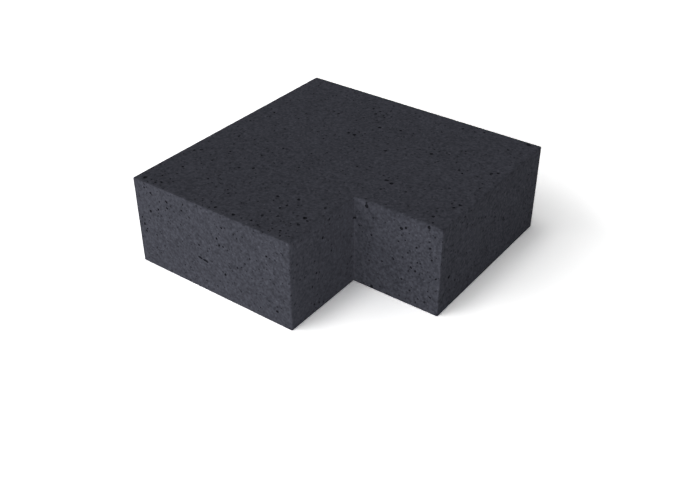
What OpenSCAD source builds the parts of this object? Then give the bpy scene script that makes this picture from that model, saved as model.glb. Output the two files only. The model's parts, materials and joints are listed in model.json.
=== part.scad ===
// Step corner block: a solid, through-coloured concrete block that turns a flight of
// block steps round a corner. It is cast as one piece. Its plan is an L: two arms, each as
// deep as the straight blocks that butt against their ends, meet at the outer corner, and
// a square notch is left between them.
//
// Frame: +Z up. The origin is the middle of the L's overall square, on the bed face, and
// the notch is at the +X -Y corner. All sizes are in millimetres.

/* [Block] */
// Overall length along X
length_x = 600; // [500:10:900]
// Overall length along Y
length_y = 600; // [500:10:900]
// Rise of the step, from its bed to its tread
rise = 200; // [120:5:250]

/* [Arms] */
// Tread depth of the arm that runs along X
depth_x = 400; // [300:10:450]
// Tread depth of the arm that runs along Y
depth_y = 400; // [300:10:450]

/* [Arrises] */
// Radius of the eased arris round the tread and down the corners
arris_r = 1.5; // [1:0.5:8]

/* [Hidden] */
$fn = 48;

// Corners of the overall square, in plan
west = -length_x / 2;
south = -length_y / 2;
north = length_y / 2;

// A rectangle with all four corners rounded by r.
module eased_rectangle(width, height, r) {
    translate([r, 0])
        square([width - 2 * r, height]);
    translate([0, r])
        square([width, height - 2 * r]);
    for (x = [r, width - r], y = [r, height - r])
        translate([x, y])
            circle(r);
}

// The end view of an arm: the top corners eased, the bed struck off square.
module arm_section(width, height, r) {
    eased_rectangle(width, height, r);
    square([width, height - r]);
}

// One straight arm, standing on its bed with a corner at the origin. The plan gives its
// upright corners, and the two sections give the arrises of its tread.
module arm(along_x, along_y) {
    intersection() {
        linear_extrude(rise)
            eased_rectangle(along_x, along_y, arris_r);
        translate([0, along_y, 0])
            rotate([90, 0, 0])
                linear_extrude(along_y)
                    arm_section(along_x, rise, arris_r);
        rotate([90, 0, 90])
            linear_extrude(along_x)
                arm_section(along_y, rise, arris_r);
    }
}

// The two arms share the outer corner, at the west and north faces.
module corner_block() {
    color("#3d3e45")
        union() {
            translate([west, north - depth_x, 0])
                arm(length_x, depth_x);
            translate([west, south, 0])
                arm(depth_y, length_y);
        }
}

corner_block();
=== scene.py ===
import json
import math
import random

import bmesh
import bpy
from mathutils import Matrix, Vector, noise


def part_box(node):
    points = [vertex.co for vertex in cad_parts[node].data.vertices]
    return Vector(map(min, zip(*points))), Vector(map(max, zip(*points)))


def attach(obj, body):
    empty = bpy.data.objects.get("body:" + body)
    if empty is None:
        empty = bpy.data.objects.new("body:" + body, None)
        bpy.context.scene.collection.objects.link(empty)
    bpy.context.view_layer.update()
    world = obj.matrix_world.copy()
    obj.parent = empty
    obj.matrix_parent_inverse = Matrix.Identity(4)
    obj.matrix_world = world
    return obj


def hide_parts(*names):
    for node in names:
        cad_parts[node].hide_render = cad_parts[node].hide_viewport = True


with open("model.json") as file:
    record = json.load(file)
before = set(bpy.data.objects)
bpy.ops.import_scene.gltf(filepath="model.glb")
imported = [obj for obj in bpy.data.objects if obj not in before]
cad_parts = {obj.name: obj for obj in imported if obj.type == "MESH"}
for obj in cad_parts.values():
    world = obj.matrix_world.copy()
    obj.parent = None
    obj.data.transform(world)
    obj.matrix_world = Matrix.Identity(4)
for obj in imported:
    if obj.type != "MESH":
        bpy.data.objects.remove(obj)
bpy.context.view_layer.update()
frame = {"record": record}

mm = 0.001
touching = mm / 100   # two places nearer than this count as one

# The block's plan: the overall box, and the two walls of its notch.
low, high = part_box("corner_block")
mounts = {mount["name"]: Vector(mount["pos_m"]) for mount in frame["record"]["mounts"]}
notchX = mounts["notch_face_x"].x
notchY = mounts["notch_face_y"].y

body = {
    "arris": 1.5 * mm,        # radius that the mould's fillets leave on outer edges but the bed's
    "arrisSteps": 3,
    "cell": 20 * mm,          # spacing of the grid that the faces are cut into
    "cutReach": 1e-7,         # a corner this near to a cut, in metres, counts as lying on it
    "arrisCuts": 5,           # extra cuts along an arris in each cell, for its wear
    "wearDepth": 0.3 * mm,    # how far handling has rubbed the arrises back
    "wearLength": 9 * mm,
    "fineWear": 0.5,          # the finer part of that wear, as a share of the coarser
    "finerBy": 3,             # and how many times shorter it is
    "softRadius": 8 * mm,     # the arris over the notch's back wall is rounder along its middle
    "softLean": 0.7,          # under 1 puts its roundest spot nearer the notch's corner
    "straight": 0.9999,       # a face whose normal runs along an axis by more than this is flat
    "sharpAngle": 40,         # degrees; edges that turn by more than this stay crisp
}


def isFlat(face):
    return max(abs(part) for part in face.normal) > body["straight"]


def buildBody():
    # The L is drawn on the bed, raised to the tread and given its eased arrises.
    bm = bmesh.new()
    outline = [
        (low.x, low.y), (notchX, low.y), (notchX, notchY),
        (high.x, notchY), (high.x, high.y), (low.x, high.y),
    ]
    bed = bm.faces.new([bm.verts.new((x, y, low.z)) for x, y in outline])
    raised = bmesh.ops.extrude_face_region(bm, geom=[bed])["geom"]
    tread = [part for part in raised if isinstance(part, bmesh.types.BMVert)]
    bmesh.ops.translate(bm, verts=tread, vec=(0, 0, high.z - low.z))
    bmesh.ops.recalc_face_normals(bm, faces=bm.faces)
    eased = [edge for edge in bm.edges if hasArris(edge)]
    bmesh.ops.bevel(bm, geom=eased, offset=body["arris"], offset_type="OFFSET", affect="EDGES",
                    segments=body["arrisSteps"], profile=0.5, material=-1)
    cutIntoCells(bm)
    softenNotchArris(bm)
    wearArrises(bm)
    return bm


def hasArris(edge):
    ends = [vert.co.z for vert in edge.verts]
    if abs(ends[0] - ends[1]) > touching:
        return edge.is_convex   # every upright edge but the one inside the notch
    return min(ends) > high.z - touching


def cutIntoCells(bm):
    # Small cells keep the faces round each pore well shaped. The first two cuts run on from the
    # notch's arrises, so that no cell of the tread is left with a hollow corner.
    cuts = [(0, notchX - body["arris"]), (1, notchY + body["arris"])]
    for axis in range(3):
        count = round((high[axis] - low[axis]) / body["cell"])
        step = (high[axis] - low[axis]) / count
        # from half a step in, so that no cut runs along an outer edge
        cuts += [(axis, low[axis] + (index + 0.5) * step) for index in range(count)]
    for axis, where in cuts:
        place, along = Vector(), Vector()
        place[axis], along[axis] = where, 1
        bmesh.ops.bisect_plane(bm, geom=bm.verts[:] + bm.edges[:] + bm.faces[:],
                               dist=body["cutReach"], plane_co=place, plane_no=along)
    shortest = body["cell"] / 3   # the edges that run across an arris are far shorter
    lengthwise = [edge for edge in bm.edges
                  if edge.calc_length() > shortest and not all(map(isFlat, edge.link_faces))]
    bmesh.ops.subdivide_edges(bm, edges=lengthwise, cuts=body["arrisCuts"], use_grid_fill=True)


def softenNotchArris(bm):
    # The arris over the notch's back wall swells from the mould's radius to softRadius and back.
    radius = body["arris"]
    for vert in bm.verts:
        out, up = vert.co.y - (notchY + radius), vert.co.z - (high.z - radius)
        if vert.co.x < notchX or vert.co.x > high.x - radius:
            continue
        if vert.co.y < notchY - touching or out > touching or up < -touching:
            continue
        share = (vert.co.x - notchX) / (high.x - notchX)
        swell = math.sin(math.pi * share ** body["softLean"])
        rounder = radius + (body["softRadius"] - radius) * swell
        vert.co.y = notchY + rounder + out * rounder / radius
        vert.co.z = high.z - rounder + up * rounder / radius


def wearArrises(bm):
    bm.normal_update()
    for vert in bm.verts:
        if any(isFlat(face) for face in vert.link_faces):
            continue
        place = vert.co / body["wearLength"]
        rub = noise.noise(place) + body["fineWear"] * noise.noise(place * body["finerBy"])
        vert.co -= vert.normal * body["wearDepth"] * max(0, rub)


# Bug holes: the air bubbles that stayed against the mould.
pores = {
    "seed": 21,
    "count": 360,             # how many small ones lie anywhere, beside those in clouds
    "smallest": 1.2 * mm,     # radius; smaller ones are in the material
    "largest": 2.6 * mm,
    "slope": 2.8,             # how fast they get rarer with size
    "clusterSize": 60 * mm,   # they gather in clouds about this wide
    "clusterShift": (3, 5, 7),   # which part of the noise gives those clouds
    "clustering": 1.6,        # how strongly they gather
    "keep": 2,                # the chance to stay in the thick of a cloud; over 1 widens that part
    "room": 1.3,              # how much room each one keeps, as a share of half its length
    "apart": 0.4 * mm,        # and how much wall beyond that
    "fromNotch": 3 * mm,      # how near the tread's may come to the notch
    "searchCell": 10 * mm,    # neighbours are looked for in a cell of this size and those round it
    "shapes": 12,
    "sides": 9,
    "rings": 6,
    "crooked": 0.3,           # how far from round, as a share of the radius
    "bumpSize": 1.1,          # how wide its dents and swellings are, in radii
    "shapeShift": 7,          # how far apart in the noise two shapes' dents are taken
    "stretches": (1, 1, 1.15, 1.3, 1.7),   # length over width
    "deep": (0.8, 1.2),       # how deep it goes below its middle, as a share of the radius
    "above": (0, 0.3),        # how far its middle lies above the face, likewise
    "standoutStretches": (1, 1.15, 1.3),
    "treadDeep": 0.7,         # how deep the ones that stand out go, on the tread
    "wallDeep": 1.1,          # and on the walls
    "standoutAbove": 0.1,     # not 0, because a widest ring right in the face leaves slivers
}

# A face is a corner, the directions of its width and height, and their lengths.
wallHeight = high.z - low.z
faces = {
    "tread": (Vector((low.x, low.y, high.z)), Vector((1, 0, 0)), Vector((0, 1, 0)),
              high.x - low.x, high.y - low.y),
    "frontEnd": (Vector((low.x, low.y, low.z)), Vector((1, 0, 0)), Vector((0, 0, 1)),
                 notchX - low.x, wallHeight),
    "notchLeft": (Vector((notchX, low.y, low.z)), Vector((0, 1, 0)), Vector((0, 0, 1)),
                  notchY - low.y, wallHeight),
    "notchBack": (Vector((notchX, notchY, low.z)), Vector((1, 0, 0)), Vector((0, 0, 1)),
                  high.x - notchX, wallHeight),
    "rightEnd": (Vector((high.x, notchY, low.z)), Vector((0, 1, 0)), Vector((0, 0, 1)),
                 high.y - notchY, wallHeight),
    "back": (Vector((high.x, high.y, low.z)), Vector((-1, 0, 0)), Vector((0, 0, 1)),
             high.x - low.x, wallHeight),
    "leftSide": (Vector((low.x, high.y, low.z)), Vector((0, -1, 0)), Vector((0, 0, 1)),
                 high.y - low.y, wallHeight),
    "bed": (Vector((high.x, low.y, low.z)), Vector((-1, 0, 0)), Vector((0, 1, 0)),
            high.x - low.x, high.y - low.y),
}

# The ones that catch the eye, placed one by one, in millimetres: across the face, up it, and width.
# Across and up start at the face's lower left corner as seen from outside, and the tread's is
# the -X -Y one.
standouts = {
    "tread": [
        (20, 15, 9), (370, 85, 9), (415, 290, 8), (430, 285, 9), (575, 590, 10), (560, 230, 8),
        (255, 15, 8), (320, 130, 7), (570, 435, 7), (575, 280, 6), (280, 115, 7), (315, 15, 6),
        (430, 435, 9), (250, 410, 8), (235, 410, 7), (550, 545, 7), (145, 155, 7), (170, 170, 7),
        (300, 45, 6), (230, 520, 8), (345, 390, 7), (30, 165, 6), (210, 15, 7), (275, 470, 8),
        (320, 485, 7), (50, 90, 6), (310, 85, 5), (580, 445, 7), (510, 410, 6), (580, 370, 5),
        (575, 390, 5), (580, 295, 8), (565, 290, 5), (470, 275, 6), (425, 255, 6), (380, 80, 6),
        (375, 60, 6), (315, 100, 6), (325, 60, 6), (295, 20, 6), (275, 15, 5), (360, 25, 5),
        (385, 20, 4), (380, 135, 6), (190, 25, 4), (240, 125, 4), (20, 155, 7), (65, 40, 4),
        (85, 195, 5), (80, 145, 5), (125, 85, 6),
    ],
    "frontEnd": [
        (90, 175, 6), (90, 160, 5), (40, 135, 6), (20, 80, 5), (170, 105, 5), (345, 150, 5),
        (220, 140, 5), (365, 30, 6), (235, 170, 5), (130, 170, 5),
    ],
    "notchBack": [
        (45, 5, 7), (170, 195, 8), (110, 170, 7), (120, 175, 6), (175, 150, 5), (145, 140, 5),
        (135, 90, 5), (145, 85, 5), (30, 190, 9), (180, 125, 5),
    ],
    "notchLeft": [
        (100, 160, 6), (120, 190, 5), (65, 65, 5), (70, 20, 6),
    ],
    "rightEnd": [
        (35, 75, 8),
    ],
}

# Two bubbles crept along the front plate, one behind the other, and left a broken slot. The turn
# is in degrees from lying across.
slots = [
    {"across": 170 * mm, "up": 75 * mm, "length": 12 * mm, "width": 5.5 * mm, "turn": -10},
    {"across": 184 * mm, "up": 73 * mm, "length": 15 * mm, "width": 6.5 * mm, "turn": -4},
]

# Where small pores gather in a cloud, in millimetres too: across, up, the width that holds two
# thirds of them, and how many are tried.
clouds = {
    "tread": [(330, 45, 60, 20), (60, 40, 60, 12), (190, 60, 60, 10), (240, 560, 60, 12)],
    "frontEnd": [(50, 150, 40, 9), (250, 110, 70, 9)],
    "notchBack": [(140, 110, 50, 4)],
}


def poreShape(seed):
    # A ball of radius 1, pushed out of round. Its faces are flat triangles, which cut a clean rim.
    bm = bmesh.new()
    bmesh.ops.create_uvsphere(bm, u_segments=pores["sides"], v_segments=pores["rings"], radius=1)
    for vert in bm.verts:
        place = vert.co / pores["bumpSize"] + Vector((seed * pores["shapeShift"], 0, 0))
        vert.co += vert.co * pores["crooked"] * noise.noise(place)
    bmesh.ops.triangulate(bm, faces=bm.faces)
    mesh = bpy.data.meshes.new("poreShape")
    bm.to_mesh(mesh)
    bm.free()
    return mesh


def spotOn(face, across, up):
    corner, widthWay, heightWay = faces[face][:3]
    return corner + widthWay * across + heightWay * up


def addPore(shape, face, across, up, radius, stretch, turn, above, deep):
    widthWay, heightWay = faces[face][1:3]
    outward = widthWay.cross(heightWay)
    centre = spotOn(face, across, up) + outward * radius * above
    facing = Matrix((widthWay, heightWay, outward)).transposed().to_4x4()
    size = Matrix.Diagonal((radius * stretch, radius, radius * deep, 1))
    pore = bpy.data.objects.new("pore", shape)
    pore.matrix_world = Matrix.Translation(centre) @ facing @ Matrix.Rotation(turn, 4, "Z") @ size
    bpy.context.scene.collection.objects.link(pore)
    return pore


def crowding(point):
    # about 0 where small pores are rare, and towards 1 in the thick of a cloud
    return 0.5 + 0.5 * noise.noise(point / pores["clusterSize"] + Vector(pores["clusterShift"]))


def makePores():
    rng = random.Random(pores["seed"])
    shapes = [poreShape(seed) for seed in range(pores["shapes"])]
    made, taken = [], {}

    def cellOf(point):
        return tuple(int(part // pores["searchCell"]) for part in point)

    def near(point):
        x, y, z = cellOf(point)
        return [other for dx in (-1, 0, 1) for dy in (-1, 0, 1) for dz in (-1, 0, 1)
                for other in taken.get((x + dx, y + dy, z + dz), ())]

    def take(point, reach):
        taken.setdefault(cellOf(point), []).append((point, reach))

    def placePore(face, across, up, width, stretch, turn):
        take(spotOn(face, across, up), width * stretch / 2)
        deep = pores["treadDeep"] if face == "tread" else pores["wallDeep"]
        made.append(addPore(rng.choice(shapes), face, across, up, width / 2, stretch, turn,
                            pores["standoutAbove"], deep))

    for slot in slots:
        placePore("frontEnd", slot["across"], slot["up"], slot["width"],
                  slot["length"] / slot["width"], math.radians(slot["turn"]))
    for face, spots in standouts.items():
        for across, up, width in spots:
            placePore(face, across * mm, up * mm, width * mm,
                      rng.choice(pores["standoutStretches"]), rng.uniform(0, math.pi))

    def tryPore(face, across, up, crowded):
        width, height = faces[face][3:]
        point = spotOn(face, across, up)
        rarity = (1 - rng.random()) ** (-1 / pores["slope"])
        radius = min(pores["smallest"] * rarity, pores["largest"])
        stretch = rng.choice(pores["stretches"])
        turn = rng.uniform(0, math.pi)
        reach = radius * stretch
        inNotch = point.x > notchX - pores["fromNotch"] and point.y < notchY + pores["fromNotch"]
        if (face == "tread" and inNotch) or not (0 < across < width and 0 < up < height):
            return
        if not crowded and rng.random() > pores["keep"] * crowding(point) ** pores["clustering"]:
            return
        if any((point - other).length < pores["room"] * (reach + otherReach) + pores["apart"]
               for other, otherReach in near(point)):
            return
        take(point, reach)
        made.append(addPore(rng.choice(shapes), face, across, up, radius, stretch, turn,
                            rng.uniform(*pores["above"]), rng.uniform(*pores["deep"])))

    for face, places in clouds.items():
        for across, up, spread, count in places:
            for step in range(count):
                toRight, upwards = rng.gauss(across, spread / 2), rng.gauss(up, spread / 2)
                tryPore(face, toRight * mm, upwards * mm, True)
    names = [name for name in faces if name != "bed"]   # the bed was struck off, not moulded
    areas = [faces[name][3] * faces[name][4] for name in names]
    total = len(made) + pores["count"]
    while len(made) < total:
        face = rng.choices(names, areas)[0]
        tryPore(face, rng.random() * faces[face][3], rng.random() * faces[face][4], False)
    return joined(made, "poreShapes")


def joined(parts, name):
    # One object from many; the first gives up its shared mesh for one of its own.
    parts[0].data = parts[0].data.copy()
    with bpy.context.temp_override(active_object=parts[0], selected_editable_objects=parts):
        bpy.ops.object.join()
    parts[0].name = name
    return parts[0]


def asObject(bm, name):
    mesh = bpy.data.meshes.new(name)
    bm.to_mesh(mesh)
    bm.free()
    made = bpy.data.objects.new(name, mesh)
    bpy.context.scene.collection.objects.link(made)
    return made


def carve(solid, cutter):
    cut = solid.modifiers.new("pores", "BOOLEAN")
    cut.operation = "DIFFERENCE"
    cut.solver = "MANIFOLD"
    cut.material_mode = "TRANSFER"
    cut.object = cutter
    shown = solid.evaluated_get(bpy.context.evaluated_depsgraph_get())
    carved = bpy.data.meshes.new_from_object(shown)
    solid.modifiers.clear()
    solid.data = carved
    bpy.data.objects.remove(cutter)


def linear(colour):
    # a hex colour is written in sRGB, whose curve this undoes
    parts = [int(colour[start:start + 2], 16) / 255 for start in (1, 3, 5)]
    return [part / 12.92 if part <= 0.04045 else ((part + 0.055) / 1.055) ** 2.4
            for part in parts] + [1]


def addNode(tree, kind, settings=None, links=None, values=None):
    # settings are the node's own options, links join its sockets to outputs, values fill the rest
    node = tree.nodes.new(kind)
    for name, value in (settings or {}).items():
        setattr(node, name, value)
    for socket, value in (values or {}).items():
        node.inputs[socket].default_value = value
    for socket, output in (links or {}).items():
        tree.links.new(output, node.inputs[socket])
    return node


# Pigmented concrete cast and vibrated against steel: dull, dark blue-grey and closed-looking
# from afar, and near by peppered with pinholes between pale grains of sand.
concrete = {
    "deep": "#1c1d22",        # the dark end: the darkest paste, and the painted shade in pinholes and carved pores
    "pale": "#53545d",        # the palest sand grains
    "middle": 0.42,           # where the moulded skin lies between the two
    "toneAndPaintedLight": 0.1,              # how far a value of 1 in the tone and painted light moves it towards the pale end
    "cloudSize": 90 * mm,     # slow drifts of moisture and lime
    "cloud": 0.1,
    "cloudDetail": 1.0,
    "mottleSize": 14 * mm,    # where the paste is richer or leaner in sand
    "mottle": 0.26,
    "mottleDetail": 1.0,
    "grainSize": 6 * mm,      # 0 to 4 mm sand and its paste, drawn as coarse as shows
    "grain": 0.85,
    "grainDetail": 2.5,
    "poreSpacing": 9 * mm,    # the pinholes, most of them 1 to 4 mm wide
    "poreWidest": 0.32,       # radius of the widest, as a share of the spacing
    "poreRim": 0.15,          # and the width of its sloping rim
    # painted shade: how much darker a pinhole is painted, for the shade that would fall in it
    "pore": 0.36,
    "poreDepth": 0.8 * mm,    # how deep they look
    "speckSpacing": 7 * mm,   # pale sand grains that the wash has laid bare
    "speckWidest": 0.3,
    "speckRim": 0.15,
    "speck": 0.3,
    "grainHeight": 0.25 * mm,   # how far the pale grain looks raised over the dark paste
    "pitShadeDepth": 1.0 * mm,     # painted shade: how far down a carved pore is painted fully dark, beyond the shade its hollow casts
    "turned": (0.5, 0.8, 0.3),   # so that no face runs along the patterns' own grids
    "roughness": 0.92,
    "specular": 0.05,         # open paste hardly shines
}


def addDots(tree, place, name):
    # Round dots, 1 in the middle and 0 outside. A cell's own random number sets how wide its
    # dot is.
    cells = addNode(tree, "ShaderNodeTexVoronoi", {"feature": "F1"}, {"Vector": place},
                    {"Scale": 1 / concrete[name + "Spacing"]})
    chance = addNode(tree, "ShaderNodeSeparateColor", None, {"Color": cells.outputs["Color"]})
    width = addNode(tree, "ShaderNodeMath", {"operation": "MULTIPLY"}, {0: chance.outputs[0]},
                    {1: concrete[name + "Widest"]})
    inside = addNode(tree, "ShaderNodeMath", {"operation": "SUBTRACT"},
                     {0: width.outputs[0], 1: cells.outputs["Distance"]})
    return addNode(tree, "ShaderNodeMapRange", None, {"Value": inside.outputs[0]},
                   {"From Min": 0.0, "From Max": concrete[name + "Rim"]}).outputs[0]


def castConcrete():
    material = bpy.data.materials.new("anthraciteCastConcrete")
    material.use_nodes = True
    tree = material.node_tree
    place = addNode(tree, "ShaderNodeMapping", None,
                    {"Vector": addNode(tree, "ShaderNodeTexCoord").outputs["Object"]},
                    {"Rotation": concrete["turned"]}).outputs["Vector"]
    toneAndPaintedLight = addNode(tree, "ShaderNodeAttribute", {"attribute_name": "toneAndPaintedLight"})
    shade = addNode(tree, "ShaderNodeMath", {"operation": "MULTIPLY_ADD"}, {0: toneAndPaintedLight.outputs["Fac"]},
                    {1: concrete["toneAndPaintedLight"], 2: concrete["middle"]}).outputs[0]
    for name in ("cloud", "mottle", "grain"):
        pattern = addNode(tree, "ShaderNodeTexNoise", None, {"Vector": place},
                          {"Scale": 1 / concrete[name + "Size"],
                           "Detail": concrete[name + "Detail"]})
        # the noise is a half on average, which is taken off so that it only varies the shade
        centred = addNode(tree, "ShaderNodeMath", {"operation": "SUBTRACT"},
                          {0: pattern.outputs[0]}, {1: 0.5})
        shade = addNode(tree, "ShaderNodeMath", {"operation": "MULTIPLY_ADD"},
                        {0: centred.outputs[0], 2: shade}, {1: concrete[name]}).outputs[0]
    speck = addDots(tree, place, "speck")
    shade = addNode(tree, "ShaderNodeMath", {"operation": "MULTIPLY_ADD"},
                    {0: speck, 2: shade}, {1: concrete["speck"]}).outputs[0]
    pinhole = addDots(tree, place, "pore")
    depth = addNode(tree, "ShaderNodeAttribute", {"attribute_name": "depth"})
    # painted shade: deeper in a carved pore the colour goes towards the deep end
    pitShade = addNode(tree, "ShaderNodeMapRange", None, {"Value": depth.outputs["Fac"]},
                  {"From Min": 0.0, "From Max": concrete["pitShadeDepth"]})
    # painted shade: the pinholes are darkened towards the deep colour
    withPinholeShade = addNode(tree, "ShaderNodeMath", {"operation": "MULTIPLY_ADD"},
                    {0: pinhole, 2: shade}, {1: -concrete["pore"]})
    withPitShade = addNode(tree, "ShaderNodeMath", {"operation": "SUBTRACT"},
                       {0: withPinholeShade.outputs[0], 1: pitShade.outputs[0]})
    # sockets 6 and 7 are a mix's two colours
    colour = addNode(tree, "ShaderNodeMix", {"data_type": "RGBA"}, {0: withPitShade.outputs[0]},
                     {6: linear(concrete["deep"]), 7: linear(concrete["pale"])})
    height = addNode(tree, "ShaderNodeMath", {"operation": "MULTIPLY_ADD"},
                     {0: pinhole, 2: shade}, {1: -concrete["poreDepth"] / concrete["grainHeight"]})
    bump = addNode(tree, "ShaderNodeBump", None, {"Height": height.outputs[0]},
                   {"Distance": concrete["grainHeight"]})
    shader = tree.nodes["Principled BSDF"]
    shader.inputs["Roughness"].default_value = concrete["roughness"]
    shader.inputs["Specular IOR Level"].default_value = concrete["specular"]
    tree.links.new(colour.outputs[2], shader.inputs["Base Color"])
    tree.links.new(bump.outputs["Normal"], shader.inputs["Normal"])
    return material


# A tone for each face, as a number from -1, dark, to 1, pale. On the faces in view it is mostly
# painted light and shade, set face by face where the lamps light a face too brightly or too dimly:
# the right end is painted darker and the notch's left wall paler.
paintedLightAndTone = {
    "tones": {"tread": -0.1, "frontEnd": 0, "notchLeft": 0.5, "notchBack": -0.3,
              "rightEnd": -0.8, "back": 0.3, "leftSide": -0.2, "bed": 0.2},
    "cornerReach": 90 * mm,    # painted light: the notch's corner is painted paler within this reach, against the shade that falls in it
    "cornerPaintedLight": {"notchLeft": 1.4, "notchBack": 0.4},
    "frontPaintedFalloff": 0.9,          # painted light falloff: how much paler the front end is at its left than at its right
    "arrisPaintedShade": -0.6,          # painted shade, which takes the highlight off the rounder arris
}


def markLightToneAndDepth(mesh):
    # Two numbers for every vertex: the tone of the face it is nearest to, with the painted light
    # and shade laid over it, and, inside a carved pore, how far it lies below that face, which the
    # material paints as shade. The pores' walls came with the second material, and a vertex on a
    # pore's rim counts as outside.
    walls, outside = set(), set()
    for polygon in mesh.polygons:
        (walls if polygon.material_index else outside).update(polygon.vertices)
    depth = mesh.attributes.new("depth", "FLOAT", "POINT")
    toneAndPaintedLight = mesh.attributes.new("toneAndPaintedLight", "FLOAT", "POINT")
    for vert in mesh.vertices:
        below = depthBelow(vert.co)
        nearest = nearestFace(below)
        fromCorner = math.hypot(vert.co.x - notchX, vert.co.y - notchY)
        # painted light that pales the notch's corner
        pale = paintedLightAndTone["cornerPaintedLight"].get(nearest, 0) * max(0, 1 - fromCorner / paintedLightAndTone["cornerReach"])
        if nearest == "frontEnd":
            # painted light and shade: paler than its own tone from the middle to the left, darker
            # to the right
            pale = paintedLightAndTone["frontPaintedFalloff"] * (0.5 - (vert.co.x - low.x) / (notchX - low.x))
        # painted shade on the rounder arris over the notch's back wall
        fromArris = math.hypot(vert.co.y - notchY, vert.co.z - high.z)
        if vert.co.x > notchX and fromArris < body["softRadius"]:
            pale += paintedLightAndTone["arrisPaintedShade"]
        # painted light and shade: the face's tone plus the painted corner light, front falloff and
        # arris shade
        toneAndPaintedLight.data[vert.index].value = paintedLightAndTone["tones"][nearest] + pale
        # the depth below the face, which the material turns into painted shade in the pores
        if vert.index in walls and vert.index not in outside:
            depth.data[vert.index].value = max(0.0, below[nearest])


def depthBelow(spot):
    # How far a spot in the block is from each of the faces.
    below = {}
    for name, (corner, widthWay, heightWay, width, height) in faces.items():
        across, up = (spot - corner).dot(widthWay), (spot - corner).dot(heightWay)
        inside = abs((corner - spot).dot(widthWay.cross(heightWay)))
        beside = max(0, -across, across - width, -up, up - height)
        below[name] = math.hypot(inside, beside)
    return below


def nearestFace(below):
    # in small steps, so that where two are as near the same one is taken every time
    return min(below, key=lambda name: round(below[name] / touching))


# A flat map of the block, which baked textures use.
flatMap = {
    "gap": 4 * mm,            # between one face and the next
    "bedScale": 2 / 3,        # the bed, which is never seen, gets less room
    "lookAlong": 1 * mm,      # how much nearer a face counts for a polygon that looks its way
    "deepest": 0.999,         # the lowest point's share of the depth; at 1 it would have no angle
}


def layOutMap(mesh):
    # Every face lies flat in the map at its true shape, with its pores seen from straight above.
    # The notch's back wall lies in the tread's own notch. The two ends, the notch's other wall and
    # the bed stand in a column beside the tread.
    gap, across, down = flatMap["gap"], high.x - low.x, high.y - low.y
    column = across + 2 * gap
    places = {
        "tread": (0, gap),
        "notchBack": (notchX - low.x + gap, 0),
        "back": (0, down + 2 * gap),
        "leftSide": (0, down + wallHeight + 3 * gap),
        "frontEnd": (column, 0),
        "rightEnd": (column, wallHeight + gap),
        "notchLeft": (column, 2 * (wallHeight + gap)),
        "bed": (column, 3 * (wallHeight + gap)),
    }
    side = down + 2 * wallHeight + 4 * gap
    uv = mesh.uv_layers.new(name="OFBake").uv
    pulled = pullWalls(mesh)
    for polygon in mesh.polygons:
        name = faceOf(polygon)
        corner, widthWay, heightWay = faces[name][:3]
        scale = flatMap["bedScale"] if name == "bed" else 1
        left, bottom = places[name][0] + gap / 2, places[name][1] + gap / 2
        for loop in polygon.loop_indices:
            vertex = mesh.loops[loop].vertex_index
            spot = pulled.get(vertex, mesh.vertices[vertex].co) - corner
            uv[loop].vector = ((left + spot.dot(widthWay) * scale) / side,
                               (bottom + spot.dot(heightWay) * scale) / side)


def faceOf(polygon):
    # The nearest face; where two are as near, on an arris, the one it looks along with.
    below = depthBelow(polygon.center)
    for name, (corner, widthWay, heightWay, width, height) in faces.items():
        below[name] -= flatMap["lookAlong"] * polygon.normal.dot(widthWay.cross(heightWay))
    return nearestFace(below)


def pullWalls(mesh):
    # A pore's wall is nearly upright at its mouth, so seen from above it has no width there. Its
    # lower rings are pulled towards the middle, which gives every ring the same room in the map.
    # Walls that share a vertex belong to one hollow.
    depth = mesh.attributes["depth"].data
    group = {}
    for polygon in mesh.polygons:
        if not polygon.material_index:
            continue
        joinedNow = {root(group, vertex) for vertex in polygon.vertices}
        first = joinedNow.pop()
        for other in joinedNow:
            group[other] = first
    hollows = {}
    for vertex in group:
        hollows.setdefault(root(group, vertex), []).append(vertex)
    pulled = {}
    for vertices in hollows.values():
        spots = [mesh.vertices[vertex].co for vertex in vertices]
        middle = sum(spots, Vector()) / len(spots)
        deepest = max(depth[vertex].value for vertex in vertices)
        for vertex in vertices:
            angle = math.acos(min(depth[vertex].value / deepest, flatMap["deepest"]))
            pull = angle / (math.pi / 2) / math.sin(angle)
            pulled[vertex] = middle + (mesh.vertices[vertex].co - middle) * pull
    return pulled


def root(group, vertex):
    # each vertex in a group names another one of it, and the last one names itself
    while group.setdefault(vertex, vertex) != vertex:
        vertex = group[vertex]
    return vertex


blockBody = asObject(buildBody(), "castBlock")
print("body built,", len(blockBody.data.polygons), "faces")
blockBody.data.materials.append(castConcrete())
poreShapes = makePores()
poreShapes.data.materials.clear()
poreShapes.data.materials.append(bpy.data.materials.new("poreWall"))
carve(blockBody, poreShapes)
print("pores carved,", sum(len(face.vertices) - 2 for face in blockBody.data.polygons), "triangles")
markLightToneAndDepth(blockBody.data)
layOutMap(blockBody.data)
print("skin toned and laid out flat")
while len(blockBody.data.materials) > 1:
    blockBody.data.materials.pop()
for polygon in blockBody.data.polygons:
    polygon.material_index = 0
    polygon.use_smooth = not isFlat(polygon)
blockBody.data.set_sharp_from_angle(angle=math.radians(body["sharpAngle"]))
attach(blockBody, "root")
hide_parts("corner_block")


studio = {
    "floorSize": 30,         # metres
    "floorColour": "#e8e8e8",
    "open": 0.529,           # how bright a white card on the open floor is under these lamps
    "ambient": 0.224,        # how bright the room itself makes that card
    "sunAway": 3,            # metres; a sun shines alike from anywhere
}

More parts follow.
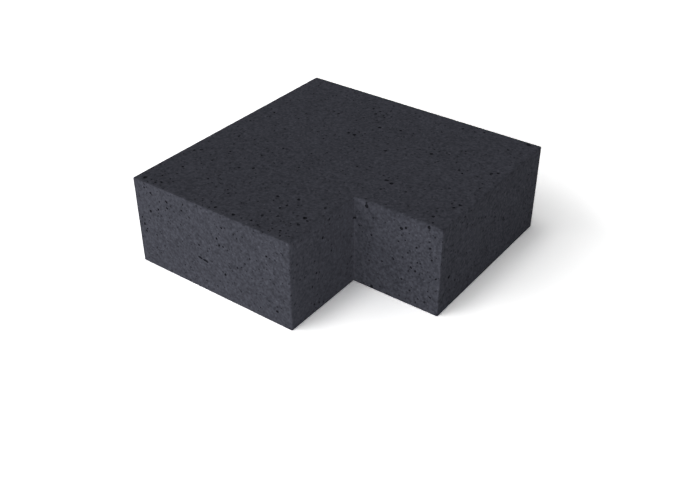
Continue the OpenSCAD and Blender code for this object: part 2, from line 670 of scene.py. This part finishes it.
# Soft boxes: bearing from the front, to the right, and height, in degrees; how wide each one
# looks from the block, also in degrees; how brightly it lights a white card that faces it; and
# its distance in metres. The two without one stand far off, as suns do.
lamps = {
    "frontBox": {"bearing": -38, "height": 5, "width": 94, "level": 1.33},
    "rightBox": {"bearing": 33, "height": 5, "width": 24, "level": 0.63, "distance": 3.2},
    "topBox": {"bearing": -54, "height": 77, "width": 20, "level": 0.125},
}


def direction(bearing, height):
    bearing, height = math.radians(bearing), math.radians(height)
    return Vector((math.sin(bearing) * math.cos(height), -math.cos(bearing) * math.cos(height),
                   math.sin(height)))


def addLamps():
    for name, setting in lamps.items():
        halfWidth = math.radians(setting["width"] / 2)
        distance = setting.get("distance")
        lamp = bpy.data.lights.new(name, "AREA" if distance else "SUN")
        if distance:
            radius = distance * math.tan(halfWidth)
            lamp.shape = "DISK"
            lamp.size = 2 * radius
            # the watts with which a disk of this size lights that card to its level
            lamp.energy = setting["level"] * math.pi ** 2 * (radius ** 2 + distance ** 2)
        else:
            lamp.energy = setting["level"] * math.pi
            lamp.angle = 2 * halfWidth
        placed = bpy.data.objects.new(name, lamp)
        towards = direction(setting["bearing"], setting["height"])
        placed.rotation_euler = towards.to_track_quat("Z", "Y").to_euler()
        placed.location = towards * (distance or studio["sunAway"])
        bpy.context.scene.collection.objects.link(placed)


def seenDirectly(tree):
    # 1 where the camera, a reflection or glass looks straight at the surface
    path = addNode(tree, "ShaderNodeLightPath")
    either = addNode(tree, "ShaderNodeMath", {"operation": "MAXIMUM"},
                     {0: path.outputs["Is Camera Ray"], 1: path.outputs["Is Glossy Ray"]})
    return addNode(tree, "ShaderNodeMath", {"operation": "MAXIMUM"},
                   {0: either.outputs[0], 1: path.outputs["Is Transmission Ray"]}).outputs[0]


def addWorld():
    world = bpy.data.worlds.new("studioWorld")
    bpy.context.scene.world = world
    world.use_nodes = True
    tree = world.node_tree
    strength = addNode(tree, "ShaderNodeMapRange", None, {"Value": seenDirectly(tree)},
                       {"To Min": studio["ambient"], "To Max": 1.0})
    background = tree.nodes["Background"]
    background.inputs["Color"].default_value = (1, 1, 1, 1)
    tree.links.new(strength.outputs[0], background.inputs["Strength"])


def addFloor():
    bm = bmesh.new()
    bmesh.ops.create_grid(bm, x_segments=1, y_segments=1, size=studio["floorSize"] / 2,
                          matrix=Matrix.Translation((0, 0, low.z)))
    floor = asObject(bm, "floor")
    material = bpy.data.materials.new("paleFloor")
    material.use_nodes = True
    tree = material.node_tree
    tree.nodes.clear()
    pale = linear(studio["floorColour"])
    # what is seen of the floor is just white in the open, and keeps the shadow
    lifted = [part / pale[0] / studio["open"] for part in pale[:3]] + [1]
    lit = addNode(tree, "ShaderNodeBsdfDiffuse", None, None, {"Color": pale})
    shown = addNode(tree, "ShaderNodeBsdfDiffuse", None, None, {"Color": lifted})
    mix = addNode(tree, "ShaderNodeMixShader", None,
                  {0: seenDirectly(tree), 1: lit.outputs[0], 2: shown.outputs[0]})
    addNode(tree, "ShaderNodeOutputMaterial", None, {"Surface": mix.outputs[0]})
    floor.data.materials.append(material)


addLamps()
addWorld()
addFloor()
print("studio lit")


view = {
    "bearing": 36.25,         # from the front, to the right, and height, in degrees
    "height": 34.17,
    "distance": 1.824,        # metres from the spot that it looks at
    "besideMiddle": (88 * mm, -120 * mm),   # that spot, at half the block's height
    "lens": 48.35,            # millimetres, as the sensor's width is
    "sensor": 36,
}

camera = bpy.data.objects.new("camera", bpy.data.cameras.new("camera"))
camera.data.lens = view["lens"]
camera.data.sensor_width = view["sensor"]
backwards = direction(view["bearing"], view["height"])
aim = (low + high) / 2 + Vector(view["besideMiddle"] + (0,))
camera.location = aim + backwards * view["distance"]
camera.rotation_euler = backwards.to_track_quat("Z", "Y").to_euler()
bpy.context.scene.collection.objects.link(camera)
bpy.context.scene.camera = camera
bpy.context.scene.view_settings.view_transform = "Standard"
